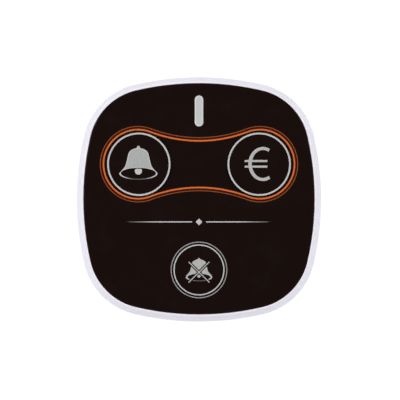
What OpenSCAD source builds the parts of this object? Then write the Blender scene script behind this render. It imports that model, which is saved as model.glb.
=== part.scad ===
// Table call button with three keys, face up, standing on four rubber feet.
// Millimetres. The origin is on the table under the centre; +Y is the indicator's end.

/* [Housing] */
// Width of the black face panel across the middle of its sides
panel_w = 76; // [74:0.5:80]
// Radius of the panel's bowed sides
side_r = 91; // [84:1:110]
// Radius of the panel's corners
corner_r = 20; // [18:0.5:22]
// How far the housing stands out past the panel at its widest
border = 2.3; // [1.8:0.1:2.6]
// Height of the rim above the table
rim_z = 19; // [18.8:0.1:20]
// Height of the widest part of the side
belly_z = 8; // [7.6:0.1:8.4]
// Height of the seam between the front shell and the back cover
seam_z = 7; // [6.8:0.1:7.2]
// How far the underside is drawn in from the belly
under_draw = 3.2; // [2.6:0.1:3.4]
// Thickness of the back cover's floor
floor_t = 1.8; // [1.6:0.1:2]

/* [Keys] */
// Distance of the call and bill keys from the centre line
key_x = 19.8; // [19:0.05:20.5]
// Height of the call and bill keys above the centre of the face
key_y = 11.35; // [10.5:0.05:12]
// Radius of the call and bill keys
key_r = 10.6; // [10.2:0.05:10.8]
// Distance of the cancel key below the centre of the face
cancel_y = 23.4; // [22.8:0.1:24]
// Radius of the cancel key
cancel_r = 8.65; // [8.3:0.05:8.9]
// How far a key goes down
key_travel = 0.8; // [0.6:0.05:0.8]
// How far the keys stand above the face panel
key_rise = 0.65; // [0.3:0.05:0.9]

/* [Indicator] */
// Distance of the indicator window above the centre of the face
lens_y = 28.9; // [28:0.1:29.4]
// Width of the window
lens_w = 2.9; // [2.6:0.1:3.4]
// Length of the window
lens_l = 10.3; // [9:0.1:11]

/* [Battery] */
// Diameter of the coin cell
cell_d = 24.5; // [24:0.1:24.6]
// Thickness of the coin cell
cell_t = 5; // [4.8:0.1:5]
// Angle that the battery door turns between locked and free
door_turn = 30; // [24:1:34]

/* [Feet and screws] */
// Radius of a rubber foot
foot_r = 4; // [3:0.5:4]
// Distance of a foot from each centre line
foot_at = 25; // [24:0.5:25]
// Height of the back cover above the table
foot_gap = 1; // [0.8:0.1:1.2]
// Distance of the case screws from the centre line, across
case_x = 15; // [14:0.5:16]
// Distance of the case screws from the centre line, along
case_y = 31.5; // [31:0.1:31.6]

/* [Hidden] */

// Roundness of turned surfaces, and a length that lets a cut run past a face
fine = 96;
medium = 48;
past = 1;

// Heights of the stack, from the back cover up to the key tops
floor_z = foot_gap + floor_t;
board_z = 9;
board_t = 1.2;
board_top = board_z + board_t;
mat_t = 1;
mat_top = board_top + mat_t;
dome_top = board_top + 3.2;
tape_t = 0.15;
panel_t = 1.2;
panel_drop = 0.15;
panel_top = rim_z - panel_drop;
panel_z = panel_top - panel_t;
plate_top = panel_z - tape_t;
plate_t = 1.8;
plate_z = plate_top - plate_t;
key_top = panel_top + key_rise;
post_meet = 7.4;

// Side wall
wall_front = 0.4;
wall_back = 2.4;
recess_gap = 0.08;
rim_edge = 0.45;
rim_out = 0.8;
rim_round = 0.5;
lip_h = 1.4;
lip_out = 0.7;
lip_gap = 0.1;
seam_bevel = 0.25;

// Keys
hole_gap = 0.2;
flange_t = 0.8;
flange_top = plate_z - 0.05;
flange_z = flange_top - flange_t;
flange_out = 1.25;
collar_gap = 0.3;
collar_t = 1;
cap_wall = 1.35;
cap_roof = key_top - 1.5;
cap_edge = 0.2;
stem_r = 4.5;
key_rib_w = 1.2;
key_rib_in = 0.7;
key_rib_h = 2.3;

// Domes and contacts
dome_flange_r = 8.6;
dome_r = 8;
dome_in_r = 7.4;
dome_head_r = 5;
pad_t = 0.05;
pill_r = 2.5;
pill_top = board_top + 1.65;
pill_z = board_top + pad_t + key_travel + 0.03;

// Battery bay
door_z = foot_gap + 0.2;
door_plate_top = floor_z;
door_r = 16.6;
door_well_r = door_r + 0.2;
ledge_z = foot_gap + 1.2;
ledge_top = ledge_z + 1;
door_top = ledge_z - 0.05;
hub_in_r = 12.6;
hub_r = 13.4;
hub_gap = 0.2;
lug_r = 14.6;
lug_z = ledge_top + 0.1;
lug_arc = 20;
lug_slack = 1;
hub_top = lug_z + 1;
chamber_top = hub_top + 0.2;
bay_r = 16.6;
bay_top = chamber_top + 1.2;
guide_in_r = cell_d / 2 + 0.25;
guide_r = guide_in_r + 1.6;
guide_top = 7.6;
cell_z = floor_z + 0.05;
seal_ring_r = 15.7;
seal_groove = 0.4;
seal_r = 0.3;
seal_z = door_top - 2 * seal_r;
coin_slot = [16, 2.2, 0.9];
dimple_r = 0.6;
dimple_h = 0.3;
door_dimple_at = 14.2;
cover_dimple_at = 18.6;
blank_recess = [22, 7, 0.25];
blank_recess_y = -23.5;
contact_t = 0.2;
side_contact_w = 4;
leaf_contact_w = 5;

// Electronics
lens_foot = 0.8;
lens_foot_out = 1;
controller_at = [24.5, 8];
radio_at = [-23.5, 9];
crystal_at = [-25, -18];
chip_part = [2, 1.25, 0.7];
// Rows of small parts under the board: [x, y, step across, step along, how many]
chip_rows = [[18.5, 24, 0, -2.4, 4], [-18.5, 24, 0, -2.4, 4], [24, -18, 3, 0, 3], [24, -21, 3, 0, 3],
    [-27, 15.5, 3, 0, 3]];

// Feet and screws
foot_sink = 0.4;
case_post_r = 3.8;
case_boss_r = 3.2;
case_shank_r = 1.25;
case_head_r = 2.4;
case_seat_z = floor_z + 0.6;
case_head_t = 1.5;
case_tip_z = 13.4;
board_boss_r = 2.2;
board_shank_r = 0.95;
board_head_r = 1.8;
board_head_t = 1.1;
board_tip_z = 14;
board_screw_at = [[-30, -8], [30, -8], [0, 19]];
case_screw_at = [for (x = [-case_x, case_x]) for (y = [-case_y, case_y]) [x, y]];

// Places of the three keys, with the radius of each and where its guide rib stands
call_at = [-key_x, key_y];
bill_at = [key_x, key_y];
cancel_at = [0, -cancel_y];
keys = [[call_at, key_r, 90], [bill_at, key_r, 90], [cancel_at, cancel_r, -90]];

// Colours
white = [0.93, 0.93, 0.95];
gloss_black = [0.07, 0.05, 0.05];
silicone = [0.72, 0.74, 0.75];
carbon = [0.12, 0.12, 0.13];
board_green = [0.08, 0.36, 0.2];
gold = [0.83, 0.66, 0.3];
milky = [0.8, 0.82, 0.81];
chip_black = [0.13, 0.13, 0.14];
ceramic = [0.55, 0.45, 0.33];
bright_metal = [0.75, 0.76, 0.78];
rubber = [0.16, 0.16, 0.17];

// ---- Outline of the face: four bowed sides and four corner arcs that meet in tangents ----
half = panel_w / 2;
side_centre = half - side_r;
gap_r = side_r - corner_r;
corner_at = (side_centre + sqrt(2 * gap_r * gap_r - side_centre * side_centre)) / 2;
join_angle = atan2(corner_at, corner_at - side_centre);
side_steps = 4;
corner_steps = 12;

function arc(centre, radius, from, to, steps) =
    [for (i = [0:steps - 1]) let (a = from + (to - from) * i / steps) centre + radius * [cos(a), sin(a)]];

function quarter(d) = concat(
    arc([side_centre, 0], side_r + d, 0, join_angle, side_steps),
    arc([corner_at, corner_at], corner_r + d, join_angle, 90 - join_angle, corner_steps),
    arc([0, side_centre], side_r + d, 90 - join_angle, 90, side_steps));

function turned(points, a) =
    [for (p = points) [p[0] * cos(a) - p[1] * sin(a), p[0] * sin(a) + p[1] * cos(a)]];

// The whole outline, moved out by d
function outline(d) = [for (a = [0:90:270]) each turned(quarter(d), a)];

module outline_plate(d, z, h) {
    translate([0, 0, z])
        linear_extrude(h)
            polygon(outline(d));
}

// A closed skin through outlines stacked at levels of [height, offset]
module loft(levels) {
    rings = [for (level = levels) [for (p = outline(level[1])) [p[0], p[1], level[0]]]];
    count = len(rings[0]);
    last = len(levels) - 1;
    floor_face = [[for (i = [0:count - 1]) i]];
    roof_face = [[for (i = [count - 1:-1:0]) last * count + i]];
    sides = [for (k = [0:last - 1]) for (i = [0:count - 1]) let (j = (i + 1) % count)
        each [[k * count + i, (k + 1) * count + j, k * count + j],
            [k * count + i, (k + 1) * count + i, (k + 1) * count + j]]];
    polyhedron([for (ring = rings) each ring], concat(floor_face, sides, roof_face));
}

// How far the side stands out from the panel's outline at a height above and below the belly
function side_above(z) = border - (border - rim_out) * pow((z - belly_z) / (rim_z - rim_round - belly_z), 2);
function side_below(z) = border - under_draw * pow((belly_z - z) / (belly_z - foot_gap), 2.2);

function front_levels() = concat(
    [[seam_z, side_below(seam_z) - seam_bevel], [seam_z + seam_bevel, side_below(seam_z + seam_bevel)],
        [belly_z, border]],
    [for (i = [1:6]) let (z = belly_z + (rim_z - rim_round - belly_z) * i / 6) [z, side_above(z)]],
    [[rim_z - 0.15, (rim_out + rim_edge) / 2 + 0.08], [rim_z, rim_edge]]);

function back_levels(inset, from, bevel) = concat(
    [for (i = [0:6]) let (z = from + (seam_z - seam_bevel - from) * i / 6) [z, side_below(z) - inset]],
    [[seam_z, side_below(seam_z) - inset - bevel]]);

// ---- Small shared shapes ----
module disc(at, r, z, h, facets = medium) {
    translate([at[0], at[1], z])
        cylinder(r = r, h = h, $fn = facets);
}

module block(at, size) {
    translate([at[0] - size[0] / 2, at[1] - size[1] / 2, at[2]])
        cube(size);
}

module slot_plate(at, w, l, z, h) {
    translate([at[0], at[1], z])
        linear_extrude(h)
            union() {
                square([w, l - w], center = true);
                for (s = [-1, 1])
                    translate([0, s * (l - w) / 2])
                        circle(r = w / 2, $fn = medium);
            }
}

// A ring sector from r1 to r2, h high, arc degrees wide about the angle mid
module sector(r1, r2, z, h, mid, arc) {
    translate([0, 0, z])
        rotate(mid - arc / 2)
            rotate_extrude(angle = arc, $fn = fine)
                translate([r1, 0])
                    square([r2 - r1, h]);
}

module key_holes(gap, z, h) {
    for (k = keys)
        disc(k[0], k[1] + gap, z, h, fine);
}

// ---- Housing ----
module front_shell() color(white) {
    difference() {
        union() {
            difference() {
                loft(front_levels());
                outline_plate(-wall_front, seam_z - past, plate_z - seam_z + past);
                outline_plate(lip_out + lip_gap, seam_z - past, lip_h + lip_gap + past);
                outline_plate(recess_gap, plate_top, rim_z - plate_top + past);
            }
            for (k = keys)
                key_collar(k[0], k[1], k[2]);
            for (at = case_screw_at)
                disc(at, case_boss_r, post_meet, plate_z - post_meet + 0.2);
            for (at = board_screw_at)
                disc(at, board_boss_r, board_top, plate_z - board_top + 0.2);
            stiffening_ribs();
        }
        key_holes(hole_gap, plate_z - past, plate_t + 2 * past);
        slot_plate([0, lens_y], lens_w + 0.2, lens_l + 0.2, plate_z - past, plate_t + 2 * past);
        for (at = case_screw_at)
            disc(at, case_shank_r + 0.05, post_meet - past, case_tip_z + 0.6 - post_meet + past);
        for (at = board_screw_at)
            disc(at, board_shank_r + 0.05, board_top - past, board_tip_z + 0.4 - board_top + past);
    }
}

// Ring under the face that guides a key's flange and holds the mat down, with its rib
module key_collar(at, r, rib_angle) {
    inner = r + flange_out + collar_gap;
    translate([at[0], at[1], 0]) {
        difference() {
            disc([0, 0], inner + collar_t, mat_top, plate_z - mat_top + 0.2, fine);
            disc([0, 0], inner, mat_top - past, plate_z - mat_top + past, fine);
        }
        rotate(rib_angle)
            translate([inner - key_rib_in, -key_rib_w / 2, plate_z - key_rib_h])
                cube([key_rib_in + collar_t / 2, key_rib_w, key_rib_h + 0.2]);
    }
}

// Low rib under the face, from a screw boss to the collar of a key
module stiffening_rib(boss, k) {
    rib_t = 1.2;
    rib_h = 2;
    run = boss - k[0];
    collar_r = k[1] + flange_out + collar_gap + collar_t / 2;
    translate([k[0][0], k[0][1], plate_z - rib_h])
        rotate(atan2(run[1], run[0]))
            translate([collar_r, -rib_t / 2, 0])
                cube([norm(run) - collar_r - case_boss_r / 2, rib_t, rib_h + 0.2]);
}

module stiffening_ribs() {
    for (i = [0, 1]) {
        side = 2 * i - 1;
        stiffening_rib([side * case_x, case_y], keys[i]);
        stiffening_rib([side * case_x, -case_y], keys[2]);
        stiffening_rib(board_screw_at[i], keys[i]);
    }
}

module back_cover() color(white) {
    difference() {
        union() {
            difference() {
                union() {
                    loft(back_levels(0, foot_gap, seam_bevel));
                    outline_plate(lip_out, seam_z - 0.4, lip_h + 0.4);
                }
                loft(concat(back_levels(wall_back, floor_z, 0),
                    [[seam_z + lip_h + past, side_below(seam_z) - wall_back]]));
            }
            for (at = case_screw_at)
                disc(at, case_post_r, floor_z - 0.2, post_meet - floor_z + 0.2);
            disc([0, 0], bay_r, floor_z - 0.2, bay_top - floor_z + 0.2, fine);
            disc([0, 0], guide_r, floor_z, guide_top - floor_z, fine);
        }
        for (at = case_screw_at) {
            disc(at, case_head_r + 0.35, foot_gap - past, case_seat_z - foot_gap + past);
            disc(at, case_shank_r + 0.2, foot_gap, post_meet);
        }
        for (x = [-foot_at, foot_at])
            for (y = [-foot_at, foot_at])
                disc([x, y], foot_r + 0.15, foot_gap - past, past + foot_sink);
        battery_bay_cut();
        // Shallow blank recess between the lower feet
        block([0, blank_recess_y, foot_gap - past], blank_recess + [0, 0, past]);
        // Dimples that mark where the door is locked and where it is free
        for (a = [90, 90 - door_turn])
            disc(cover_dimple_at * [cos(a), sin(a)], dimple_r, foot_gap - past, past + dimple_h, 24);
    }
}

// Door well, ledge with the lugs' way in, their chambers, and the cell's guide
module battery_bay_cut() {
    disc([0, 0], door_well_r, foot_gap - past, ledge_z - foot_gap + past, fine);
    disc([0, 0], hub_r + hub_gap, ledge_z - past, chamber_top - ledge_z + past, fine);
    disc([0, 0], guide_in_r, chamber_top - past, guide_top + 2 * past, fine);
    sweep = lug_arc + door_turn + 2 * lug_slack;
    way = lug_arc + 2 * lug_slack;
    for (a = [90:120:330]) {
        sector(hub_in_r, lug_r + 0.4, ledge_top, chamber_top - ledge_top, a - door_turn / 2, sweep);
        sector(hub_in_r, lug_r + 0.25, ledge_z - past, ledge_top - ledge_z + 2 * past, a - door_turn, way);
    }
    // Gap in the guide for the side contact
    translate([guide_in_r - 1.5, -3, chamber_top + 0.5])
        cube([6, 6, 4]);
}

module face_panel() color(gloss_black) {
    difference() {
        loft([[panel_z, 0], [panel_top - 0.2, 0], [panel_top, -0.2]]);
        key_holes(hole_gap, panel_z - past, panel_t + 2 * past);
        slot_plate([0, lens_y], lens_w + 0.2, lens_l + 0.2, panel_z - past, panel_t + 2 * past);
    }
}

module panel_tape() color(carbon) {
    difference() {
        outline_plate(-0.6, plate_top, tape_t);
        key_holes(0.8, plate_top - past, tape_t + 2 * past);
        slot_plate([0, lens_y], lens_w + 1, lens_l + 1, plate_top - past, tape_t + 2 * past);
    }
}

// ---- Keys ----
// Round cap with a hollow back, a stem to its dome and a flange under the face
module key_cap(at, r, rib_angle) {
    flange_r = r + flange_out;
    inner = r - cap_wall;
    translate([at[0], at[1], 0])
        difference() {
            rotate_extrude($fn = fine)
                polygon(concat(
                    [[0, dome_top], [stem_r, dome_top], [stem_r, cap_roof], [inner, cap_roof],
                        [inner, flange_z], [flange_r, flange_z], [flange_r, flange_top], [r, flange_top]],
                    [for (a = [0:22.5:90]) [r - cap_edge, key_top - cap_edge] + cap_edge * [cos(a), sin(a)]],
                    [[0, key_top]]));
            rotate(rib_angle)
                translate([flange_r - key_rib_in - 0.2, -key_rib_w / 2 - 0.25, flange_z - past])
                    cube([3, key_rib_w + 0.5, flange_t + past + 0.1]);
        }
}

module call_key() color(gloss_black) key_cap(call_at, key_r, 90);

module bill_key() color(gloss_black) key_cap(bill_at, key_r, 90);

module cancel_key() color(gloss_black) key_cap(cancel_at, cancel_r, -90);

// Sheet of the mat, between the board and the collars
module key_mat() color(silicone) {
    edge = flange_out + collar_gap + collar_t + 0.5;
    translate([0, 0, board_top])
        linear_extrude(mat_t)
            difference() {
                union() {
                    for (k = keys)
                        translate(k[0])
                            circle(r = k[1] + edge, $fn = fine);
                    translate([-key_x, key_y - 8])
                        square([2 * key_x, 12]);
                    translate([-6, -cancel_y])
                        square([12, cancel_y + key_y - 4]);
                }
                for (k = keys)
                    translate(k[0])
                        circle(r = dome_in_r, $fn = fine);
            }
}

// Domed silicone spring: a foot ring, a sloping skirt and a solid head over the pill
module key_dome(at) color(silicone) {
    translate([at[0], at[1], 0])
        rotate_extrude($fn = fine)
            polygon([[0, pill_top], [3, pill_top], [3, dome_top - 1.05], [4.4, dome_top - 1.05],
                [dome_in_r, mat_top], [dome_flange_r, mat_top], [dome_flange_r, mat_top + 0.3],
                [dome_r, mat_top + 0.3], [dome_head_r, dome_top - 0.5], [dome_head_r, dome_top],
                [0, dome_top]]);
}

module call_dome() key_dome(call_at);

module bill_dome() key_dome(bill_at);

module cancel_dome() key_dome(cancel_at);

module key_pill(at) color(carbon) disc(at, pill_r, pill_z, pill_top - pill_z);

module call_pill() key_pill(call_at);

module bill_pill() key_pill(bill_at);

module cancel_pill() key_pill(cancel_at);

// ---- Circuit board ----
module circuit_board() color(board_green) {
    difference() {
        outline_plate(-1, board_z, board_t);
        for (at = case_screw_at) {
            disc(at, case_boss_r + 0.4, board_z - past, board_t + 2 * past);
            block([at[0], at[1] + sign(at[1]) * 4, board_z - past],
                [2 * case_boss_r + 0.8, 8, board_t + 2 * past]);
        }
        for (at = board_screw_at)
            disc(at, board_shank_r + 0.2, board_z - past, board_t + 2 * past);
    }
}

// A pair of half-round pads under each pill
module contact_pads() color(gold) {
    pad_r = 2.9;
    pad_split = 0.4;
    for (k = keys)
        difference() {
            disc(k[0], pad_r, board_top, pad_t);
            block([k[0][0], k[0][1], board_top - past], [pad_split, 3 * pad_r, 2 * past + pad_t]);
        }
}

// Window with a foot under the face and a light guide down towards the lamp
module indicator_lens() color(milky) {
    foot_z = plate_z - lens_foot;
    foot_out = 2 * lens_foot_out;
    lens_top = panel_top + 0.1;
    guide_z = board_top + 1.8;
    slot_plate([0, lens_y], lens_w, lens_l, plate_z - 0.1, lens_top - plate_z + 0.1);
    slot_plate([0, lens_y], lens_w + foot_out, lens_l + foot_out, foot_z, lens_foot);
    slot_plate([0, lens_y], lens_w, lens_l - 1.5, guide_z, foot_z - guide_z + 0.1);
}

module indicator_led() color(milky) {
    block([0, lens_y, board_top], [2.8, 3.5, 0.9]);
    disc([0, lens_y], 1.1, board_top + 0.8, 0.35);
}

// Flat chip under the board with legs along its two long sides
module leg_chip(at, w, l, legs) {
    body_t = 1.4;
    lift = 0.15;
    leg_w = 0.42;
    leg_t = 0.2;
    leg_out = 1;
    pitch = 1.27;
    block([at[0], at[1], board_z - lift - body_t], [w, l, body_t]);
    for (s = [-1, 1])
        for (i = [0:legs - 1]) {
            y = at[1] + (i - (legs - 1) / 2) * pitch;
            block([at[0] + s * (w / 2 + leg_out / 2 - 0.1), y, board_z - 0.9], [leg_out, leg_w, leg_t]);
            block([at[0] + s * (w / 2 + leg_out - 0.25), y, board_z - 0.9], [0.5, leg_w, 0.9]);
        }
}

module controller_chip() color(chip_black) leg_chip(controller_at, 3.9, 9.9, 8);

module radio_chip() color(chip_black) leg_chip(radio_at, 3.9, 4.9, 4);

// Oval can on a thin base, under the board
module crystal_can() color(bright_metal) {
    slot_plate(crystal_at, 4.6, 11, board_z - 0.5, 0.5);
    slot_plate(crystal_at, 3.8, 10.2, board_z - 3.2, 2.8);
}

// Chip resistors and capacitors under the board
module chip_parts() color(ceramic) {
    for (row = chip_rows)
        for (i = [0:row[4] - 1])
            block([row[0] + i * row[2], row[1] + i * row[3], board_z - chip_part[2]], chip_part);
}

// ---- Antenna: a wound wire whose two ends turn up to the board ----
antenna_r = 2.1;
antenna_wire = 0.8;
antenna_pitch = 2;
antenna_turns = 8.5;
antenna_at = [-antenna_pitch * antenna_turns / 2, 27.5, 6.2];
antenna_steps = 8;
antenna_sides = 6;

function coil_point(a) =
    antenna_at + [antenna_pitch * a / 360, antenna_r * cos(a), -antenna_r * sin(a)];

function coil_tangent(a) =
    let (v = [antenna_pitch / 360, -antenna_r * sin(a) * PI / 180, -antenna_r * cos(a) * PI / 180])
    v / norm(v);

function coil_radial(a) = [0, cos(a), -sin(a)];

coil_angles = [for (i = [1:antenna_turns * antenna_steps - 1]) i * 360 / antenna_steps];
coil_last = antenna_turns * 360;

// Stations of the wire: [place, direction, outward direction]
coil_stations = concat(
    [for (z = [board_z, antenna_at[2] + antenna_wire, antenna_at[2] + 0.3])
        [[coil_point(0)[0], coil_point(0)[1], z], [0, 0, -1], coil_radial(0)]],
    [for (a = coil_angles) [coil_point(a), coil_tangent(a), coil_radial(a)]],
    [for (z = [antenna_at[2] + 0.3, antenna_at[2] + antenna_wire, board_z])
        [[coil_point(coil_last)[0], coil_point(coil_last)[1], z], [0, 0, 1], coil_radial(coil_last)]]);

// Least distance between the wire's turns, from points at least half a turn apart
coil_gap = min([for (i = [0:len(coil_stations) - 1]) for (j = [i + 5:1:len(coil_stations) - 1])
    norm(coil_stations[i][0] - coil_stations[j][0])]) - antenna_wire;
echo(antenna_gap = coil_gap);

module antenna_coil() color(gold) {
    rings = [for (s = coil_stations) let (u = s[2], v = cross(s[1], s[2]))
        [for (k = [0:antenna_sides - 1]) let (a = k * 360 / antenna_sides)
            s[0] + antenna_wire / 2 * (cos(a) * u + sin(a) * v)]];
    last = len(rings) - 1;
    side_faces = [for (i = [0:last - 1]) for (k = [0:antenna_sides - 1])
        let (m = (k + 1) % antenna_sides, p = i * antenna_sides, q = p + antenna_sides)
        each [[p + k, q + m, p + m], [p + k, q + k, q + m]]];
    polyhedron([for (ring = rings) each ring], concat(
        [[for (k = [0:antenna_sides - 1]) k]],
        side_faces,
        [[for (k = [antenna_sides - 1:-1:0]) last * antenna_sides + k]]));
}

// ---- Battery ----
module coin_cell() color(bright_metal) {
    r = cell_d / 2;
    top = cell_z + cell_t;
    rotate_extrude($fn = fine)
        polygon([[0, cell_z], [r - 0.4, cell_z], [r - 0.12, cell_z + 0.12], [r, cell_z + 0.4],
            [r, top - 0.6], [r - 0.3, top - 0.35], [r - 0.9, top - 0.35], [r - 0.9, top - 0.5],
            [r - 1.6, top - 0.5], [r - 1.8, top], [0, top]]);
}

// Bent strip: its outline seen from the side, w wide
module strip(points, w) {
    translate([0, w / 2, 0])
        rotate([90, 0, 0])
            linear_extrude(w)
                polygon(points);
}

// Leaf on the board that presses on the top of the cell
module negative_contact() color(gold) {
    t = contact_t;
    low = cell_z + cell_t;
    lift = low + 0.45;
    strip([[-9, board_z - t], [-5, board_z - t], [-1, low], [1, low], [3, lift], [3, lift + t],
        [1, low + t], [-1, low + t], [-5, board_z], [-9, board_z]], leaf_contact_w);
}

// Upright tongue beside the cell, with its foot on the board
module positive_contact() color(gold) {
    t = contact_t;
    x = cell_d / 2 + 0.02;
    end = x + 3.5;
    low = chamber_top + 0.7;
    strip([[x, low], [x + t, low], [x + t, board_z - t], [end, board_z - t], [end, board_z],
        [x, board_z]], side_contact_w);
}

module battery_door() color(white) {
    difference() {
        union() {
            rotate_extrude($fn = fine)
                polygon([[0, door_z], [door_r - 0.3, door_z], [door_r, door_z + 0.3], [door_r, door_top],
                    [seal_ring_r + seal_groove, door_top], [seal_ring_r + seal_groove, seal_z],
                    [seal_ring_r - seal_groove, seal_z], [seal_ring_r - seal_groove, door_top],
                    [hub_r, door_top], [hub_r, hub_top], [hub_in_r, hub_top],
                    [hub_in_r, door_plate_top], [0, door_plate_top]]);
            for (a = [90:120:330])
                sector(hub_r - 0.3, lug_r, lug_z, hub_top - lug_z, a, lug_arc);
        }
        block([0, 0, door_z - past], coin_slot + [0, 0, past]);
        // Pointer dimple
        disc([0, door_dimple_at], dimple_r, door_z - past, past + dimple_h, 24);
    }
}

module door_seal() color(rubber) {
    translate([0, 0, seal_z + seal_r])
        rotate_extrude($fn = fine)
            translate([seal_ring_r, 0])
                circle(r = seal_r, $fn = 24);
}

// ---- Fasteners and feet ----
// Pan-head screw pointing up, with a cross recess in the head
module screw(at, seat_z, head_r, head_t, shank_r, tip_z) {
    bevel = 0.3;
    recess = [head_r * 1.15, 0.5, head_t * 0.6];
    translate([at[0], at[1], 0])
        difference() {
            rotate_extrude($fn = medium)
                polygon([[0, seat_z - head_t], [head_r - bevel, seat_z - head_t],
                    [head_r, seat_z - head_t + bevel], [head_r, seat_z], [shank_r, seat_z],
                    [shank_r, tip_z - shank_r], [0.3, tip_z], [0, tip_z]]);
            for (a = [0, 90])
                rotate(a)
                    block([0, 0, seat_z - head_t - past], [recess[0], recess[1], recess[2] + past]);
        }
}

module case_screws() color(bright_metal) {
    for (at = case_screw_at)
        screw(at, case_seat_z, case_head_r, case_head_t, case_shank_r, case_tip_z);
}

module board_screws() color(bright_metal) {
    for (at = board_screw_at)
        screw(at, board_z, board_head_r, board_head_t, board_shank_r, board_tip_z);
}

module rubber_feet() color(rubber) {
    for (x = [-foot_at, foot_at])
        for (y = [-foot_at, foot_at])
            translate([x, y, 0])
                rotate_extrude($fn = medium)
                    polygon([[0, 0], [foot_r - 0.3, 0], [foot_r, 0.3], [foot_r, foot_gap + foot_sink],
                        [0, foot_gap + foot_sink]]);
}

front_shell();
back_cover();
face_panel();
panel_tape();
call_key();
bill_key();
cancel_key();
key_mat();
call_dome();
bill_dome();
cancel_dome();
call_pill();
bill_pill();
cancel_pill();
circuit_board();
contact_pads();
indicator_lens();
indicator_led();
controller_chip();
radio_chip();
crystal_can();
chip_parts();
antenna_coil();
coin_cell();
positive_contact();
negative_contact();
battery_door();
door_seal();
case_screws();
board_screws();
rubber_feet();
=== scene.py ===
import math
from collections import namedtuple

import bmesh
import bpy
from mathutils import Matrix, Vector

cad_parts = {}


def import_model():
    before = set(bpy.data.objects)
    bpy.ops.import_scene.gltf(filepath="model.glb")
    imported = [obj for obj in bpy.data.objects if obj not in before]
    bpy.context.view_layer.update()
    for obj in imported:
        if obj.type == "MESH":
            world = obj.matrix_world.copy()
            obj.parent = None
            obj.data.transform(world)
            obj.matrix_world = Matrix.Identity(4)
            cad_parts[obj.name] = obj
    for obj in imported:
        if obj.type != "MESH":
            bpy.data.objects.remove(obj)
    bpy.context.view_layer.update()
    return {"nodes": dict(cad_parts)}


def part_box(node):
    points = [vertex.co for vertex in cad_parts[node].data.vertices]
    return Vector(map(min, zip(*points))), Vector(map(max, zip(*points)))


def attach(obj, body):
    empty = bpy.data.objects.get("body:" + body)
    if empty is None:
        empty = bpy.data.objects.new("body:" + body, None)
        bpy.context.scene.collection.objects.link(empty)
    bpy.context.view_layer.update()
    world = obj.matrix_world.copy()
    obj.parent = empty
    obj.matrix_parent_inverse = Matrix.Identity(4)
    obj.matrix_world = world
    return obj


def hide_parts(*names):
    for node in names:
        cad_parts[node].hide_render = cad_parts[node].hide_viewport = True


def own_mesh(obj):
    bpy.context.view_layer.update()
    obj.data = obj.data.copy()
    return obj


# A table call button seen from straight above: white housing, gloss black face, three round keys
# with silver prints, a milky indicator window, and a coin-turn battery door underneath.
# Metres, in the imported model's frame: +Z up out of the face, +Y towards the window.

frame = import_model()
nodes = frame["nodes"]

MM = 0.001
WELD = 0.002 * MM  # points nearer to each other than this become one
PAST = 1 * MM  # how far a cutting tool reaches past what it cuts
OVERLAP = 0.2 * MM  # how far a joined part reaches into its piece


def in_mm(points):
    return [(x * MM, y * MM) for x, y in points]


# ---- Heights and places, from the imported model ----
def centre_of(node):
    low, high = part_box(node)
    return Vector(((low.x + high.x) / 2, (low.y + high.y) / 2))


def span(node):
    """The lowest and the highest Z of a node."""
    low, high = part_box(node)
    return low.z, high.z


SEAM_Z, RIM_Z = span("front_shell")
COVER_Z, _ = span("back_cover")
PANEL_Z, PANEL_TOP = span("face_panel")
PLATE_TOP, _ = span("panel_tape")
PLATE_Z = PLATE_TOP - 1.8 * MM
KEY_FOOT, KEY_TOP = span("call_key")
MAT_Z, MAT_TOP = span("key_mat")
BOARD_Z, BOARD_TOP = span("circuit_board")
DOOR_Z, DOOR_TOP = span("battery_door")
SEAL_Z, _ = span("door_seal")
SCREW_Z, SCREW_TIP = span("case_screws")
_, FOOT_TOP = span("rubber_feet")
BELLY_Z = 8 * MM

# ---- Outline of the face: four bowed sides and four corner arcs that meet in tangents ----
PANEL_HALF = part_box("face_panel")[1].x
SIDE_R = 91 * MM
CORNER_R = 20 * MM
SIDE_CENTRE = PANEL_HALF - SIDE_R
CORNER_AT = (SIDE_CENTRE + math.sqrt(2 * (SIDE_R - CORNER_R) ** 2 - SIDE_CENTRE**2)) / 2
JOIN_ANGLE = math.atan2(CORNER_AT, CORNER_AT - SIDE_CENTRE)
SIDE_STEPS = 12
CORNER_STEPS = 24
ROUND_STEPS = 128
PEG_STEPS = 64

# ---- Housing walls, as distances out from the face's outline ----
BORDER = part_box("front_shell")[1].x - PANEL_HALF
RIM_OUT = 0.8 * MM
RIM_FALL = 10.5 * MM
RIM_R = 0.4 * MM
UNDER_DRAW = 3.2 * MM
RECESS_GAP = 0.08 * MM
SEAM_R = 0.25 * MM
FRONT_WALL_IN = -0.4 * MM
BACK_WALL = 2.4 * MM
LIP_OUT = 0.7 * MM
LIP_TOP = SEAM_Z + 1.4 * MM
LIP_GAP = 0.1 * MM
FLOOR_TOP = COVER_Z + 1.8 * MM
STUB = -4 * MM  # where a profile of a flat face ends; close_mesh fills the rest of the face

# ---- Keys ----
Key = namedtuple("Key", "name at radius rib_angle")
CALL = Key("call", centre_of("call_pill"), 10.6 * MM, 90)
BILL = Key("bill", centre_of("bill_pill"), 10.6 * MM, 90)
CANCEL = Key("cancel", centre_of("cancel_pill"), 8.65 * MM, -90)
KEYS = (CALL, BILL, CANCEL)
HOLE_GAP = 0.2 * MM
HOLE_MOUTH = 0.1 * MM
CAP_EDGE = 0.15 * MM
CAP_WALL = 1.35 * MM
CAP_ROOF = KEY_TOP - 1.5 * MM
FLANGE_OUT = 1.25 * MM
FLANGE_TOP = PLATE_Z - 0.05 * MM
FLANGE_Z = FLANGE_TOP - 0.8 * MM
STEM_R = 4.5 * MM
COLLAR_IN = FLANGE_OUT + 0.3 * MM
COLLAR_T = 1 * MM
KEY_RIB_W = 1.2 * MM
KEY_RIB_IN = 0.7 * MM

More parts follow.
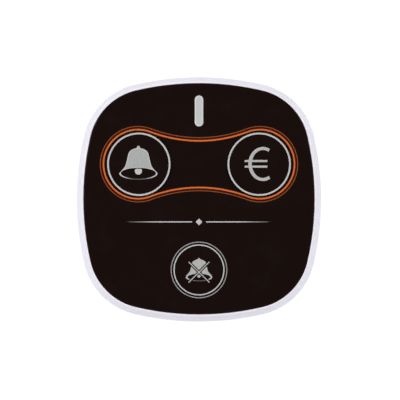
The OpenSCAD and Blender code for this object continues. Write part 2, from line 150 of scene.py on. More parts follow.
# ---- Prints ----
INK_T = 0.04 * MM
INK_SINK = 0.01 * MM
FIRST_LAYER = INK_T - 0.008 * MM
SECOND_LAYER = 0.006 * MM
CAP_TOP = KEY_TOP - INK_T

# ---- Window ----
WINDOW_LOW, WINDOW_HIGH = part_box("indicator_lens")
WINDOW_AT = centre_of("indicator_lens")
WINDOW_FOOT = 1 * MM
WINDOW_W = WINDOW_HIGH.x - WINDOW_LOW.x - 2 * WINDOW_FOOT
WINDOW_L = WINDOW_HIGH.y - WINDOW_LOW.y - 2 * WINDOW_FOOT

# ---- Screws, feet and battery bay ----
CASE_SCREW_AT = in_mm((x, y) for x in (-15, 15) for y in (-31.5, 31.5))
BOARD_SCREW_AT = in_mm([(-30, -8), (30, -8), (0, 19)])
FOOT_AT = in_mm((x, y) for x in (-25, 25) for y in (-25, 25))
FOOT_R = 4 * MM
POST_TOP = 7.4 * MM
SCREW_SEAT = 3.4 * MM
DOOR_R = 16.6 * MM
DOOR_GAP = 0.2 * MM
HUB_R = 13.4 * MM
HUB_IN = 12.6 * MM
GUIDE_R = 12.5 * MM
DOOR_ANGLES = (90, 210, 330)
DOOR_TURN = 30


# ---- Modelling helpers ----
Turn = namedtuple("Turn", "centre angle steps")
Run = namedtuple("Run", "x y")


def only(piece):
    """Selects one object and makes it the active one."""
    bpy.ops.object.select_all(action="DESELECT")
    piece.select_set(True)
    bpy.context.view_layer.objects.active = piece


def settle(piece):
    """Puts an object's place, turn and size into its mesh."""
    only(piece)
    bpy.ops.object.transform_apply(location=True, rotation=True, scale=True)


def added(operator, **settings):
    """A primitive, added with nothing else selected."""
    bpy.ops.object.select_all(action="DESELECT")
    operator(**settings)
    return bpy.context.object


def start_line(name):
    """A new mesh in edit mode, worked down to one point at the origin."""
    piece = added(bpy.ops.mesh.primitive_plane_add, size=MM, location=(0, 0, 0))
    piece.name = piece.data.name = name
    bpy.ops.object.mode_set(mode="EDIT")
    bpy.ops.mesh.select_mode(type="VERT")
    bpy.ops.mesh.merge(type="CENTER")
    return piece


def draw_line(points):
    """Moves the point to the first place and extrudes it along the others."""
    bpy.ops.transform.translate(value=points[0])
    for here, there in zip(points, points[1:]):
        bpy.ops.mesh.extrude_vertices_move(TRANSFORM_OT_translate={"value": there - here})
    bpy.ops.mesh.select_all(action="SELECT")


def close_mesh():
    """Welds the seams, closes the open loops, turns the faces outwards and leaves edit mode."""
    bpy.ops.mesh.select_all(action="SELECT")
    bpy.ops.mesh.remove_doubles(threshold=WELD)
    bpy.ops.mesh.fill_holes(sides=0)
    bpy.ops.mesh.normals_make_consistent(inside=False)
    bpy.ops.object.mode_set(mode="OBJECT")


def sweep(name, profile, start, path):
    """A profile of (out, height) points, drawn outwards in X from start and carried along the path."""
    piece = start_line(name)
    draw_line([Vector((start[0] + out, start[1], height)) for out, height in profile])
    for step in path:
        if isinstance(step, Turn):
            bpy.ops.mesh.spin(steps=step.steps, angle=step.angle, center=(*step.centre, 0), axis=(0, 0, -1))
        else:
            bpy.ops.mesh.extrude_region_move(TRANSFORM_OT_translate={"value": (step.x, step.y, 0)})
    close_mesh()
    return piece


def lathe(name, at, profile, angle=360):
    """A profile of (radius, height) points turned about an upright axis."""
    steps = round(ROUND_STEPS * angle / 360)
    return sweep(name, profile, at, [Turn(at, math.radians(angle), steps)])


def rectangle(inner, outer, low, high):
    return [(inner, low), (outer, low), (outer, high), (inner, high), (inner, low)]


def oval(centre, across, up, start, end, steps):
    """Points on an ellipse by angle in degrees, both ends included."""
    angles = [math.radians(start + (end - start) * i / steps) for i in range(steps + 1)]
    return [(centre[0] + across * math.cos(a), centre[1] + up * math.sin(a)) for a in angles]


def arc(centre, radius, start, end, steps):
    return oval(centre, radius, radius, start, end, steps)


def outward(angle):
    """The direction at an angle in degrees, as seen from above."""
    return Vector((math.cos(math.radians(angle)), math.sin(math.radians(angle))))


def turned(point, quarter):
    """A point turned about the origin by quarter turns."""
    x, y = point
    for _ in range(quarter % 4):
        x, y = -y, x
    return x, y


def outline_path():
    """Once round the face, from the middle of its right side."""
    half_side = Turn((SIDE_CENTRE, 0), JOIN_ANGLE, SIDE_STEPS // 2)
    path = [half_side]
    for quarter in range(4):
        corner = turned((CORNER_AT, CORNER_AT), quarter)
        path.append(Turn(corner, math.pi / 2 - 2 * JOIN_ANGLE, CORNER_STEPS))
        side = turned((SIDE_CENTRE, 0), quarter + 1)
        path.append(Turn(side, 2 * JOIN_ANGLE, SIDE_STEPS) if quarter < 3 else half_side)
    return path


def ring_round_face(name, profile):
    """A profile of (distance out from the face's outline, height) points carried round the face."""
    return sweep(name, profile, (PANEL_HALF, 0), outline_path())


def slot_body(name, at, width, length, profile):
    """A profile of (distance from the middle line, height) points carried round a slot with round ends."""
    half_run = (length - width) / 2
    near, far = (at[0], at[1] - half_run), (at[0], at[1] + half_run)
    half_round = ROUND_STEPS // 4
    return sweep(name, profile, far, [
        Turn(far, math.pi, half_round), Run(0, -2 * half_run), Turn(near, math.pi, half_round),
        Run(0, 2 * half_run)])


def peg(at, radius, low, high):
    """An upright pin, as a tool for cut and join."""
    return added(bpy.ops.mesh.primitive_cylinder_add, vertices=PEG_STEPS, radius=radius,
                 depth=high - low, location=(*at, (low + high) / 2))


def bar(at, size, low, turn=0):
    """An upright block on its own centre, as a tool for cut and join."""
    return added(bpy.ops.mesh.primitive_cube_add, size=1, scale=size,
                 location=(*at, low + size[2] / 2), rotation=(0, 0, math.radians(turn)))


def rounded_bar(at, size, low, radius, wanted):
    """A bar with a round on each edge whose two ends pass the wanted test."""
    block = bar(at, size, low)
    settle(block)
    bpy.ops.object.mode_set(mode="EDIT")
    bpy.ops.mesh.select_mode(type="EDGE")
    bpy.ops.mesh.select_all(action="DESELECT")
    for edge in bmesh.from_edit_mesh(block.data).edges:
        edge.select_set(wanted(*(corner.co for corner in edge.verts)))
    bmesh.update_edit_mesh(block.data)
    bpy.ops.mesh.bevel(offset=radius, segments=6)
    bpy.ops.object.mode_set(mode="OBJECT")
    return block


def bore(at, radius, bottom, face, mouth):
    """A round tool that cuts from a face to a bottom and rounds the hole's mouth."""
    way = 1 if face > bottom else -1
    lip = arc((radius + mouth, face - way * mouth), mouth, 180, 180 - 80 * way, 4)
    outer, end = radius + 1.3 * mouth, face + way * PAST
    return lathe("bore", at, [
        (0, bottom), (radius, bottom), *lip, (outer, face + way * 0.1 * mouth), (outer, end), (0, end)])


def sector(inner, outer, low, high, middle, angle):
    """A piece of a ring, angle degrees wide about its middle, as a tool for cut and join."""
    tool = lathe("sector", (0, 0), rectangle(inner, outer, low, high), angle)
    tool.rotation_euler.z = math.radians(middle - angle / 2)
    settle(tool)
    return tool


def apply_modifier(piece, modifier):
    only(piece)
    bpy.ops.object.modifier_apply(modifier=modifier.name)


def work(piece, operation, tools):
    """Takes tools away from a piece or joins them to it, one at a time, and keeps its mesh closed."""
    for tool in tools:
        modifier = piece.modifiers.new("work", "BOOLEAN")
        modifier.operation = operation
        modifier.solver = "MANIFOLD"
        modifier.object = tool
        apply_modifier(piece, modifier)
        bpy.data.meshes.remove(tool.data)


def cut(piece, *tools):
    work(piece, "DIFFERENCE", tools)


def join(piece, *tools):
    work(piece, "UNION", tools)


def smooth(piece, angle):
    """Smooth shading with sharp edges past the angle, where flat faces keep their own normals."""
    only(piece)
    bpy.ops.object.shade_smooth_by_angle(angle=math.radians(angle))
    weighted = piece.modifiers.new("weighted", "WEIGHTED_NORMAL")
    weighted.keep_sharp = True
    apply_modifier(piece, weighted)


def dress(piece, body, finish, replaces=(), sharp=30):
    """Smooths a finished piece, gives it its material and body, and hides the CAD nodes it stands for."""
    smooth(piece, sharp)
    piece.data.materials.clear()
    piece.data.materials.append(finish)
    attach(piece, body)
    if replaces:
        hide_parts(*replaces)


def copies(piece, name, places):
    """The piece, modelled about the origin, copied to each place with a mesh of its own."""
    made = []
    for count, place in enumerate(places, 1):
        only(piece)
        bpy.ops.object.duplicate(linked=False)
        twin = bpy.context.object
        twin.name = twin.data.name = f"{name}_{count}"
        bpy.ops.transform.translate(value=(*place, 0))
        settle(twin)
        made.append(twin)
    bpy.data.meshes.remove(piece.data)
    return made


# ---- Shaders ----
def node_maths(operation, swapped=False):
    """A method of Socket that adds a Math node for its own value and those it is given."""
    def method(self, *others):
        values = (*others, self) if swapped else (self, *others)
        return self.tree.add("Math", {"operation": operation}, dict(enumerate(values)))
    return method


class Socket:
    """A shader value. Python's operators on it add Math nodes."""

    def __init__(self, tree, socket):
        self.tree = tree
        self.socket = socket

    __add__ = __radd__ = node_maths("ADD")
    __sub__ = node_maths("SUBTRACT")
    __rsub__ = node_maths("SUBTRACT", swapped=True)
    __mul__ = __rmul__ = node_maths("MULTIPLY")
    __abs__ = node_maths("ABSOLUTE")
    least = node_maths("MINIMUM")
    most = node_maths("MAXIMUM")
    root = node_maths("SQRT")
    wrap = node_maths("WRAP")

    def rise(self, start, end):
        """0 up to start, 1 from end, and a soft step between them."""
        return self.tree.add("MapRange", {"interpolation_type": "SMOOTHSTEP"},
                             {"Value": self, "From Min": start, "From Max": end})


class Tree:
    """The nodes of a material or world."""

    def __init__(self, owner):
        owner.use_nodes = True
        self.owner = owner
        self.nodes = owner.node_tree.nodes
        self.links = owner.node_tree.links

    def add(self, kind, settings=None, inputs=None, output=0):
        """A node of a kind, with its settings made before its sockets are fed."""
        node = self.nodes.new("ShaderNode" + kind)
        for name, value in (settings or {}).items():
            setattr(node, name, value)
        self.feed(node, inputs or {})
        return Socket(self, node.outputs[output])

    def feed(self, node, inputs):
        for key, value in inputs.items():
            if isinstance(value, Socket):
                self.links.new(value.socket, node.inputs[key])
            else:
                node.inputs[key].default_value = value

    def place(self, stretch=(1, 1, 1)):
        """Object coordinates, stretched."""
        coordinates = self.add("TexCoord", output="Object")
        return self.add("Mapping", {"vector_type": "TEXTURE"}, {"Vector": coordinates, "Scale": stretch})

    def axes(self):
        """The object coordinates X, Y and Z, as three values."""
        coordinates = self.add("TexCoord", output="Object")
        return [self.add("SeparateXYZ", inputs={"Vector": coordinates}, output=axis) for axis in "XYZ"]

    def noise(self, size, detail=3, stretch=(1, 1, 1)):
        """Soft noise from 0 to 1 about 0.5, whose spots are about size across."""
        return self.add("TexNoise", inputs={
            "Vector": self.place(stretch), "Scale": 1 / size, "Detail": detail, "Roughness": 0.55})

    def cells(self, size):
        """Distance to the nearest of points strewn about size apart."""
        return self.add("TexVoronoi", inputs={"Vector": self.place(), "Scale": 1 / size})

    def mix(self, factor, first, second):
        """A colour between two, as (red, green, blue) or sockets."""
        ends = [value if isinstance(value, Socket) else (*value, 1) for value in (first, second)]
        return self.add("Mix", {"data_type": "RGBA"}, {0: factor, 6: ends[0], 7: ends[1]}, output=2)

    def finish(self, tone, roughness, height, depth, **others):
        """Feeds the surface shader and returns the material. The other sockets are named with
        underscores for spaces."""
        bump = self.add("Bump", inputs={"Height": height, "Distance": depth}, output="Normal")
        inputs = {"Base Color": tone, "Roughness": roughness, "Normal": bump}
        inputs.update({name.replace("_", " "): value for name, value in others.items()})
        self.feed(self.nodes["Principled BSDF"], inputs)
        return self.owner


def new_finish(name):
    return Tree(bpy.data.materials.new(name))


def scaled(colour, factor):
    return tuple(channel * factor for channel in colour)


def white_moulding():
    """Satin lilac-white moulding, finely grained, a little duller and greyer along the seam, and polished
    along the top of the rim, where its lighter colour is a painted highlight.
    """
    tree = new_finish("white_moulding")
    colour = (0.845, 0.822, 0.94)
    cloud = tree.noise(9 * MM, 4)
    _, _, z = tree.axes()
    seam = 1 - abs(z - SEAM_Z).rise(0.1 * MM, 0.9 * MM)
    grime = seam * tree.noise(2.5 * MM, 5).rise(0.35, 0.75)
    # Along the top of the rim: real polish (lower roughness) plus a painted highlight (a lighter colour).
    polish_and_highlight = z.rise(RIM_Z - 0.3 * MM, RIM_Z - 0.03 * MM)
    tone = tree.mix(cloud.rise(0.3, 0.7), scaled(colour, 0.985), scaled(colour, 1.01))
    tone = tree.mix(grime * 0.35, tone, (0.64, 0.632, 0.656))
    # The lighter rim colour is a painted highlight.
    tone = tree.mix(polish_and_highlight, tone, (0.87, 0.83, 0.885))
    return tree.finish(tone, 0.36 + 0.08 * cloud + 0.12 * grime - 0.1 * polish_and_highlight,
                       tree.noise(0.22 * MM, 2), 0.012 * MM)


def gloss_black(name, gloss):
    """Polished black with faint smudges and hairline swirls."""
    tree = new_finish(name)
    smudge = tree.noise(7 * MM, 5).rise(0.5, 0.72)
    swirl = tree.noise(1.6 * MM, 2, (6, 0.5, 1)).rise(0.58, 0.7)
    tone = tree.mix(smudge * 0.5, (0.0075, 0.0028, 0.0021), (0.0095, 0.0048, 0.004))
    return tree.finish(tone, gloss + 0.05 * smudge + 0.03 * swirl, tree.noise(3 * MM, 2), 0.002 * MM,
                       Specular_IOR_Level=0.35)


def screen_ink(name, colour, dull=0.5, fade=None):
    """Printed ink: even, with the faint mottle of a screen print, dim where fade(x, y) is 1."""
    tree = new_finish(name)
    mottle = tree.noise(0.6 * MM, 3)
    tone = tree.mix(mottle.rise(0.35, 0.65), scaled(colour, 0.95), scaled(colour, 1.04))
    if fade:
        tone = tree.mix(fade(*tree.axes()[:2]), tone, (0.10, 0.09, 0.09))
    return tree.finish(tone, dull + 0.1 * mottle, tree.noise(0.15 * MM, 1), 0.004 * MM,
                       Specular_IOR_Level=0.3)


def bell_ink(name, at, colour, size):
    """Ink of a bell, dimmer along the middle of its lower lip."""
    unit = size * MM

    def lip(x, y):
        middle = 1 - abs(x - at.x).rise(1.5 * unit, 5.4 * unit)
        return middle * (1 - y.rise(at.y - 4.5 * unit, at.y - 3.9 * unit))
    return screen_ink(name, colour, fade=lip)


def milky_window():
    """Milky light guide, with a painted highlight along its polished edge."""
    tree = new_finish("milky_window")
    x, y, _ = tree.axes()
    across = x - WINDOW_AT.x
    along = (abs(y - WINDOW_AT.y) - (WINDOW_L - WINDOW_W) / 2).most(0)
    # The lighter colour along the rounded edge is a painted highlight.
    edge = (across * across + along * along).root().rise(0.85 * MM, 1.2 * MM)
    cloud = tree.noise(1.8 * MM, 3)
    tone = tree.mix(edge, (0.53, 0.538, 0.532), (0.75, 0.73, 0.725))
    tone = tree.mix(cloud.rise(0.4, 0.7) * 0.2, tone, (0.49, 0.505, 0.495))
    return tree.finish(tone, 0.28 + 0.08 * cloud, tree.noise(0.3 * MM, 2), 0.004 * MM)


def speckled_rubber():
    """Matte black rubber with dust in its pores."""
    tree = new_finish("speckled_rubber")
    dust = tree.cells(0.35 * MM).rise(0.32, 0.5)
    cloud = tree.noise(3 * MM, 4)
    tone = tree.mix(dust * 0.5 * cloud, (0.022, 0.022, 0.024), (0.075, 0.073, 0.07))
    return tree.finish(tone, 0.82 + 0.1 * cloud, tree.noise(0.2 * MM, 3), 0.02 * MM,
                       Specular_IOR_Level=0.3)


def translucent_silicone():
    """Grey silicone with the soft clouding of a moulded mat."""
    tree = new_finish("translucent_silicone")
    cloud = tree.noise(4 * MM, 4)
    tone = tree.mix(cloud.rise(0.3, 0.7), (0.44, 0.47, 0.49), (0.56, 0.585, 0.6))
    return tree.finish(tone, 0.42 + 0.14 * cloud, tree.noise(0.25 * MM, 2), 0.008 * MM,
                       Sheen_Weight=0.1)


def carbon_rubber():
    """Conductive pill: black, with graphite glints."""
    tree = new_finish("carbon_rubber")
    glint = 1 - tree.cells(0.12 * MM).rise(0.1, 0.3)
    tone = tree.mix(glint * 0.4, (0.016, 0.016, 0.017), (0.10, 0.10, 0.105))
    return tree.finish(tone, 0.6 - 0.2 * glint, tree.noise(0.1 * MM, 2), 0.006 * MM)


def adhesive_tape():
    """Black double-sided film with the long streaks of its backing."""
    tree = new_finish("adhesive_tape")
    streak = tree.noise(0.8 * MM, 3, (1, 14, 1))
    tone = tree.mix(streak.rise(0.35, 0.7), (0.011, 0.011, 0.012), (0.03, 0.03, 0.031))
    return tree.finish(tone, 0.45 + 0.2 * streak, streak, 0.004 * MM)


def solder_mask():
    """Green circuit board: lighter tracks, plated holes, and bare laminate at its cut edges."""
    tree = new_finish("solder_mask")
    x, y, z = tree.axes()
    lane = 1.9 * MM
    bend = tree.noise(14 * MM, 0).rise(0.49, 0.51)
    across = x + (y - x) * bend
    track = 1 - abs(across.wrap(lane, 0) - lane / 2).rise(0.2 * MM, 0.28 * MM)
    track = track * tree.noise(6 * MM, 1).rise(0.48, 0.5)
    via = 1 - tree.cells(3.6 * MM).rise(0.10, 0.12)
    flat = 1 - abs(z - (BOARD_Z + BOARD_TOP) / 2).rise(0.52 * MM, 0.56 * MM)
    cover = 1 - flat
    tone = tree.mix(track, (0.010, 0.085, 0.035), (0.022, 0.155, 0.062))
    tone = tree.mix(via, tone, (0.62, 0.47, 0.2))
    tone = tree.mix(cover, (0.28, 0.30, 0.13), tone)
    return tree.finish(tone, 0.3 + 0.25 * flat, track, 0.03 * MM, Metallic=via * cover)


def plated(name, colour, dull=0.25):
    """Plated spring metal with rolling lines and slight tarnish."""
    tree = new_finish(name)
    rolling = tree.noise(0.25 * MM, 3, (1, 12, 12))
    tarnish = tree.noise(2 * MM, 4).rise(0.5, 0.75)
    tone = tree.mix(tarnish * 0.5, colour, scaled(colour, 0.7))
    return tree.finish(tone, dull + 0.12 * rolling + 0.15 * tarnish, rolling, 0.003 * MM, Metallic=1.0)


def turned_nickel():
    """Coin cell steel: fine rings about its axis and a few handling marks."""
    tree = new_finish("turned_nickel")
    x, y, _ = tree.axes()
    rings = tree.add("TexNoise", {"noise_dimensions": "1D"}, {
        "W": (x * x + y * y).root(), "Scale": 1 / (0.12 * MM), "Detail": 3})
    marks = tree.noise(3 * MM, 5).rise(0.55, 0.75)
    tone = tree.mix(marks, (0.56, 0.565, 0.575), (0.44, 0.44, 0.445))
    return tree.finish(tone, 0.24 + 0.1 * rings + 0.14 * marks, rings, 0.003 * MM, Metallic=1.0)


def zinc_plate():
    """Zinc-plated screws with faintly blue passivation."""
    tree = new_finish("zinc_plate")
    patch = tree.noise(0.9 * MM, 4)
    tone = tree.mix(patch.rise(0.35, 0.7), (0.50, 0.52, 0.56), (0.62, 0.61, 0.57))
    return tree.finish(tone, 0.28 + 0.15 * patch, tree.noise(0.15 * MM, 2), 0.004 * MM, Metallic=1.0)


TINNED = (0.62, 0.62, 0.63)


def chip_moulding(name, node, pin_one):
    """Moulded chip body with a dot at pin one, up from its middle, and tinned legs beside it."""
    tree = new_finish(name)
    at, body_half = centre_of(node), 1.95 * MM
    x, y, _ = tree.axes()
    legs = abs(x - at.x).rise(body_half, body_half + 0.02 * MM)
    dot_x, dot_y = x - (at.x - body_half + 0.7 * MM), y - (at.y + pin_one)
    dot = 1 - (dot_x * dot_x + dot_y * dot_y).root().rise(0.28 * MM, 0.34 * MM)
    grain = tree.noise(0.08 * MM, 2)
    tone = tree.mix(grain, (0.012, 0.012, 0.013), (0.022, 0.022, 0.024))
    tone = tree.mix(dot * 0.6, tone, (0.09, 0.09, 0.09))
    tone = tree.mix(legs, tone, TINNED)
    return tree.finish(tone, 0.55 - 0.25 * legs, grain, 0.005 * MM, Metallic=legs)


def ceramic_chips():
    """Small board parts: tan ceramic with tinned ends, by the columns that they stand in."""
    tree = new_finish("ceramic_chips")
    x, _, _ = tree.axes()
    first, *others = [abs(x - column * MM) for column in (-27, -24, -21, -18.5, 18.5, 24, 27, 30)]
    nearest = first
    for distance in others:
        nearest = nearest.least(distance)
    ends = nearest.rise(0.62 * MM, 0.66 * MM)
    grain = tree.noise(0.2 * MM, 3)
    tone = tree.mix(grain, (0.26, 0.17, 0.09), (0.34, 0.24, 0.14))
    tone = tree.mix(ends, tone, TINNED)
    return tree.finish(tone, 0.5 - 0.15 * ends, grain, 0.005 * MM, Metallic=ends)


WHITE = white_moulding()
BLACK_PANEL = gloss_black("black_panel", 0.07)
BLACK_CAP = gloss_black("black_cap", 0.1)
SILVER = screen_ink("silver_ink", (0.515, 0.508, 0.508))
SILVER_CORE = screen_ink("silver_core_ink", (0.385, 0.395, 0.388))
SILVER_SOFT = screen_ink("silver_soft_ink", (0.44, 0.43, 0.425))
SILVER_DIM = screen_ink("silver_dim_ink", (0.34, 0.32, 0.318))
ORANGE = screen_ink("orange_ink", (0.645, 0.143, 0.024), 0.28)
UMBER = screen_ink("umber_ink", (0.255, 0.07, 0.019), 0.26)
DARK_RED = screen_ink("dark_red_ink", (0.048, 0.0016, 0.0004), 0.22)
MILKY = milky_window()
RUBBER = speckled_rubber()
SILICONE = translucent_silicone()
NICKEL = turned_nickel()
ZINC = zinc_plate()
GOLD = plated("gold_plate", (0.75, 0.52, 0.22))
COPPER = plated("enamelled_copper", (0.66, 0.33, 0.13), 0.2)
CONTACT_PLATE = (0.62, 0.6, 0.56)


# ---- Housing ----
def side_above(z):
    """How far the side stands out at a height between the belly and the rim."""
    return BORDER - (BORDER - RIM_OUT) * ((z - BELLY_Z) / RIM_FALL) ** 2


def side_below(z):
    """How far the side stands out at a height under the belly."""
    return BORDER - UNDER_DRAW * ((BELLY_Z - z) / (BELLY_Z - COVER_Z)) ** 2.2


def wall(side, low, high, steps, inset=0):
    """Points up a side from one height to another, inset from its surface."""
    heights = [low + (high - low) * i / steps for i in range(steps + 1)]
    return [(side(z) - inset, z) for z in heights]


def key_collar(key):
    """Tube under the face that guides a key's flange, with the rib that stops the key turning."""
    inner, drop = key.radius + COLLAR_IN, 2.3 * MM
    tube = lathe("collar", key.at, rectangle(inner, inner + COLLAR_T, MAT_TOP, PLATE_Z + OVERLAP))
    rib_at = key.at + (inner - KEY_RIB_IN / 2 + COLLAR_T / 4) * outward(key.rib_angle)
    rib = bar(rib_at, (KEY_RIB_IN + COLLAR_T / 2, KEY_RIB_W, drop + OVERLAP), PLATE_Z - drop, key.rib_angle)
    return tube, rib


def stiffening_rib(boss, key):
    """Low rib under the face between a screw boss and a key's collar."""
    width, drop, end_gap = 1.2 * MM, 2 * MM, 1.6 * MM
    run = Vector(boss) - key.at
    start, end = key.radius + COLLAR_IN + COLLAR_T / 2, run.length - end_gap
    middle = key.at + run.normalized() * (start + end) / 2
    facing = math.degrees(math.atan2(run.y, run.x))
    return bar(middle, (end - start, width, drop + OVERLAP), PLATE_Z - drop, facing)


def window_slot(low, high):
    """Tool for the window's slot, right through what lies between two heights."""
    half = (WINDOW_W + HOLE_GAP) / 2
    return slot_body("slot", WINDOW_AT, WINDOW_W, WINDOW_L, [
        (0, low - PAST), (half, low - PAST), (half, high + PAST), (0, high + PAST)])


def housing_shell():
    """Upper housing: bowed side, soft rim, recess for the face, and the key wells behind it."""
    lean = math.atan(2 * (BORDER - RIM_OUT) / RIM_FALL)
    shoulder = RIM_Z - RIM_R * (1 - math.sin(lean))
    rim_at = (side_above(shoulder) - RIM_R * math.cos(lean), RIM_Z - RIM_R)
    rim = arc(rim_at, RIM_R, 90, math.degrees(lean), 8)
    inner_r = 0.08 * MM
    inner_rim = arc((RECESS_GAP + inner_r, RIM_Z - inner_r), inner_r, 180, 90, 3)
    seam_top = SEAM_Z + SEAM_R
    side = wall(side_above, BELLY_Z, shoulder, 14)[-2::-1]
    below = wall(side_below, seam_top, BELLY_Z, 4)[-2::-1]
    seam = arc((side_below(seam_top) - SEAM_R, seam_top), SEAM_R, 0, -90, 5)[1:]
    lip_wall, lip_roof = LIP_OUT + LIP_GAP, LIP_TOP + LIP_GAP
    shell = ring_round_face("housing_shell", [
        (STUB, PLATE_TOP), (RECESS_GAP, PLATE_TOP), *inner_rim, *rim, *side, *below, *seam,
        (lip_wall, SEAM_Z), (lip_wall, lip_roof), (FRONT_WALL_IN, lip_roof), (FRONT_WALL_IN, PLATE_Z),
        (STUB, PLATE_Z)])
    for key in KEYS:
        cut(shell, peg(key.at, key.radius + HOLE_GAP, PLATE_Z - PAST, PLATE_TOP + PAST))
        join(shell, *key_collar(key))
    cut(shell, window_slot(PLATE_Z, PLATE_TOP))
    for places, boss_r, boss_z, pilot_r, pilot_top in (
            (CASE_SCREW_AT, 3.2 * MM, POST_TOP, 1.3 * MM, 14 * MM),
            (BOARD_SCREW_AT, 2.2 * MM, BOARD_TOP, 1 * MM, 14.4 * MM)):
        for at in places:
            join(shell, peg(at, boss_r, boss_z, PLATE_Z + OVERLAP))
            cut(shell, peg(at, pilot_r, boss_z - PAST, pilot_top))
    for (lower, upper), board_boss, key in (
            (CASE_SCREW_AT[:2], BOARD_SCREW_AT[0], CALL), (CASE_SCREW_AT[2:], BOARD_SCREW_AT[1], BILL)):
        join(shell, stiffening_rib(upper, key), stiffening_rib(lower, CANCEL),
             stiffening_rib(board_boss, key))
    dress(shell, "housing", WHITE, ["front_shell"])


def housing_base():
    """Lower housing: a tray with the battery well, screw posts and recesses for the feet."""
    bottom_r, lip_edge, inside = 0.4 * MM, 0.12 * MM, 2 * STUB
    seam_low = SEAM_Z - SEAM_R
    bottom = arc((side_below(COVER_Z) - bottom_r / 2, COVER_Z + bottom_r), bottom_r, -90, -35, 4)
    side = wall(side_below, bottom[-1][1] + 0.2 * MM, seam_low, 12)
    seam = arc((side_below(seam_low) - SEAM_R, seam_low), SEAM_R, 0, 90, 5)[1:]
    inner = wall(side_below, FLOOR_TOP, SEAM_Z, 8, BACK_WALL)
    base = ring_round_face("housing_base", [
        (inside, COVER_Z), *bottom, *side, *seam, (LIP_OUT, SEAM_Z), (LIP_OUT, LIP_TOP - lip_edge),
        (LIP_OUT - lip_edge, LIP_TOP), (inner[-1][0], LIP_TOP), *inner[::-1], (inside, FLOOR_TOP)])
    for at in CASE_SCREW_AT:
        join(base, peg(at, 3.8 * MM, FLOOR_TOP - OVERLAP, POST_TOP))
    low, bay_top, guide_out, guide_top = FLOOR_TOP - OVERLAP, 5.7 * MM, GUIDE_R + 1.6 * MM, 7.6 * MM
    join(base, lathe("bay", (0, 0), [
        (0, low), (DOOR_R, low), (DOOR_R, bay_top), (guide_out, bay_top), (guide_out, guide_top),
        (0, guide_top)]))
    for at in CASE_SCREW_AT:
        cut(base, bore(at, 2.75 * MM, SCREW_SEAT, COVER_Z, 0.25 * MM),
            peg(at, 1.45 * MM, 3 * MM, POST_TOP + PAST))
    for at in FOOT_AT:
        cut(base, bore(at, FOOT_R + 0.15 * MM, FOOT_TOP, COVER_Z, 0.12 * MM))
    battery_bay(base)
    cut(base, blank_recess())
    for angle in (90, 90 - DOOR_TURN):
        cut(base, dimple(18.6 * MM, angle, COVER_Z))
    dress(base, "housing", WHITE, ["back_cover"])


def battery_bay(base):
    """Cuts the door's well, the ledge with the lugs' way in, their chambers and the cell's guide."""
    ledge_z, ledge_top, chamber_top = 2.2 * MM, 3.2 * MM, 4.5 * MM
    chamber_r, way_in_r, lug_arc, chamber_arc = 15 * MM, 14.85 * MM, 22, 22 + DOOR_TURN
    contact_slot, slot_z = (6 * MM, 6 * MM, 4 * MM), 5 * MM
    cut(base, bore((0, 0), DOOR_R + DOOR_GAP, ledge_z, COVER_Z, 0.2 * MM),
        peg((0, 0), HUB_R + DOOR_GAP, ledge_z - PAST, chamber_top),
        peg((0, 0), GUIDE_R, chamber_top - PAST, 9 * MM))
    for angle in DOOR_ANGLES:
        cut(base, sector(HUB_IN, chamber_r, ledge_top, chamber_top, angle - DOOR_TURN / 2, chamber_arc),
            sector(HUB_IN, way_in_r, ledge_z - PAST, ledge_top + PAST, angle - DOOR_TURN, lug_arc))
    cut(base, bar((GUIDE_R + 1.5 * MM, 0), contact_slot, slot_z))


def blank_recess():
    """Tool for the shallow blank field between the lower feet, with rounded corners."""
    return rounded_bar((0, -23.5 * MM), (22 * MM, 7 * MM, PAST + 0.25 * MM), COVER_Z - PAST, 0.8 * MM,
                       lambda one, other: abs(one.z - other.z) > 0.1 * MM)


def dimple(radius, angle, face):
    """Tool for a small round-bottomed mark in an underside."""
    mark_r, end = 0.7 * MM, face - PAST
    hollow = arc((0, face - mark_r / 2), mark_r, 90, 0, 6)
    return lathe("dimple", radius * outward(angle), [*hollow, (mark_r, end), (0, end)])


# ---- Face ----
def face_plate():
    """Black face with a softly rounded edge and round-mouthed holes for the keys and the window."""
    edge = 0.2 * MM
    plate = ring_round_face("face_plate", [
        (STUB, PANEL_TOP), (-edge - 0.5 * MM, PANEL_TOP), *arc((-edge, PANEL_TOP - edge), edge, 90, 0, 5),
        (0, PANEL_Z), (STUB, PANEL_Z)])
    for key in KEYS:
        cut(plate, bore(key.at, key.radius + HOLE_GAP, PANEL_Z - PAST, PANEL_TOP, HOLE_MOUTH))
    cut(plate, window_slot(PANEL_Z, PANEL_TOP))
    dress(plate, "housing", BLACK_PANEL, ["face_panel"])


def window():
    """Milky window with a rounded top edge, a foot under the face and a light guide below."""
    half, edge, foot = WINDOW_W / 2 - 0.04 * MM, 0.3 * MM, WINDOW_W / 2 + WINDOW_FOOT
    top, foot_z = WINDOW_HIGH.z, PLATE_Z - 0.8 * MM
    lens = slot_body("window", WINDOW_AT, WINDOW_W, WINDOW_L, [
        (0, top), (half - edge - 0.3 * MM, top), *arc((half - edge, top - edge), edge, 90, 0, 6),
        (half, PLATE_Z), (foot, PLATE_Z), (foot, foot_z), (0, foot_z)])
    guide, guide_z, guide_top = WINDOW_W / 2, WINDOW_LOW.z, foot_z + 0.4 * MM
    join(lens, slot_body("guide", WINDOW_AT, WINDOW_W, WINDOW_L - 1.5 * MM, [
        (0, guide_top), (guide, guide_top), (guide, guide_z), (0, guide_z)]))
    dress(lens, "housing", MILKY, ["indicator_lens"])


